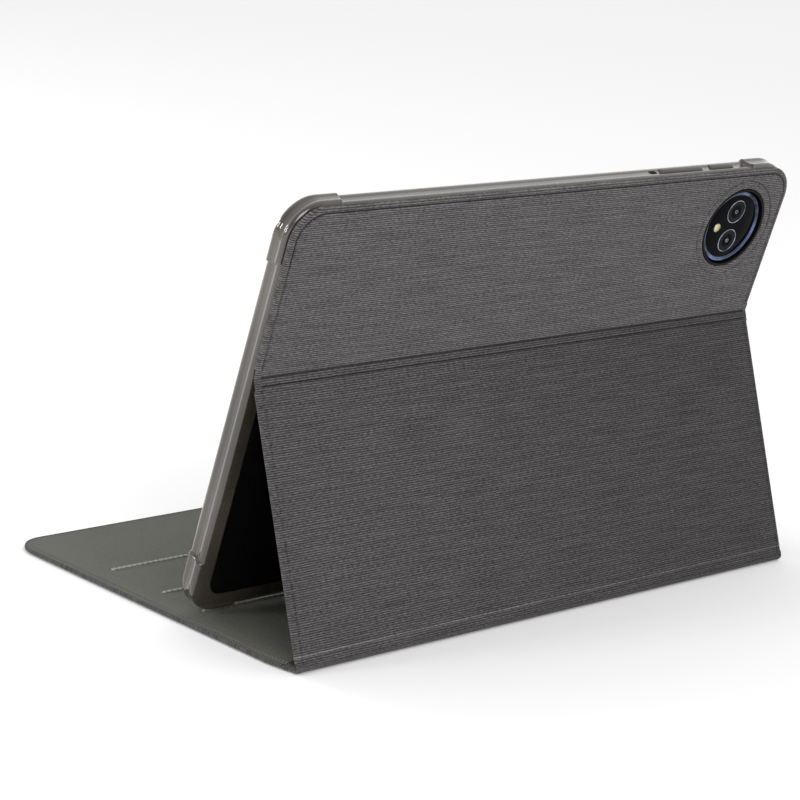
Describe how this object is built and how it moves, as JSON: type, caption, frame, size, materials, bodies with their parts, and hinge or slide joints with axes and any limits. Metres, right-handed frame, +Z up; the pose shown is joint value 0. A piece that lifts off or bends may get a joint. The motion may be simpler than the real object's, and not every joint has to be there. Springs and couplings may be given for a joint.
{
  "type": "tablet folio stand case",
  "caption": "Fabric folio stand case with a soft clear tray that holds a tablet, shown standing open on its front cover.",
  "frame": {"origin": "centre of the footprint on the table, at table height", "axes": "+X across the case along its folds, -Y the way the screen faces, +Z up"},
  "size_m": [0.2764, 0.177, 0.1708],
  "materials": {
    "fabric": "fine ribbed weave, warm dark grey",
    "lining": "fine twill, green grey",
    "board": "grey board",
    "bond": "double-sided bonding sheet",
    "magnet": "plated",
    "black_plastic": "matt black",
    "soft_tray": "smoky translucent soft plastic, satin",
    "clear_plate": "clear hard plastic, gloss",
    "key_cover": "soft, satin grey",
    "tablet_metal": "dark anodised, satin",
    "screen_glass": "black screen glass",
    "ring_metal": "blue anodised, polished edge",
    "camera_glass": "black glass, gloss",
    "lens": "coated lens",
    "flash": "pale yellow diffuser"
  },
  "bodies": {
    "front_cover": {"cover_skin": "fabric", "cover_board": "board", "cover_lining": "lining", "closure_magnet_left": "magnet", "closure_magnet_right": "magnet", "sleep_magnet": "magnet", "spine_skin": "fabric", "spine_lining": "lining"},
    "leg": {"leg_skin": "fabric", "leg_board": "board", "leg_lining": "lining", "hinge_skin": "fabric", "hinge_lining": "lining"},
    "tray": {"upper_skin": "fabric", "upper_board": "board", "bonding_sheet": "bond", "camera_collar": "black_plastic", "tray_frame": "soft_tray", "back_plate": "clear_plate"},
    "volume_cover": {"volume_key_cover": "key_cover"},
    "power_cover": {"power_key_cover": "key_cover"},
    "tablet": {"tablet_housing": "tablet_metal", "tablet_screen_glass": "screen_glass", "camera_ring": "ring_metal", "camera_glass": "camera_glass", "camera_lens_upper": "lens", "camera_lens_lower": "lens", "flash_lens": "flash"},
    "volume_key": {"tablet_volume_key": "tablet_metal"},
    "power_key": {"tablet_power_key": "tablet_metal"}
  },
  "joints": [
    {"name": "foot_fold", "type": "hinge", "parent": "front_cover", "child": "leg", "pos_m": [0, 0.08883, 0], "axis": [-1, 0, 0], "range_deg": [-17.2, 16.6]},
    {"name": "valley_fold", "type": "hinge", "parent": "leg", "child": "tray", "pos_m": [0, 0.05409, 0.10268], "axis": [-1, 0, 0], "range_deg": [-34.4, 35.65]},
    {"name": "tablet_lift_out", "type": "slide", "parent": "tray", "child": "tablet", "axis": [0, -0.9617, 0.274], "range_m": [0, 0.03]},
    {"name": "volume_cover_press", "type": "slide", "parent": "tray", "child": "volume_cover", "axis": [0, -0.274, -0.9617], "range_m": [0, 0.0004], "stiffness_N_per_m": 800},
    {"name": "power_cover_press", "type": "slide", "parent": "tray", "child": "power_cover", "axis": [0, -0.274, -0.9617], "range_m": [0, 0.0004], "stiffness_N_per_m": 800},
    {"name": "volume_key_press", "type": "slide", "parent": "tablet", "child": "volume_key", "axis": [0, -0.274, -0.9617], "range_m": [0, 0.0004]},
    {"name": "power_key_press", "type": "slide", "parent": "tablet", "child": "power_key", "axis": [0, -0.274, -0.9617], "range_m": [0, 0.0004]}
  ],
  "couplings": [
    {"joint": "valley_fold", "follows": "foot_fold", "ratio": -2.07},
    {"joint": "volume_key_press", "follows": "volume_cover_press", "ratio": 1},
    {"joint": "power_key_press", "follows": "power_cover_press", "ratio": 1}
  ]
}
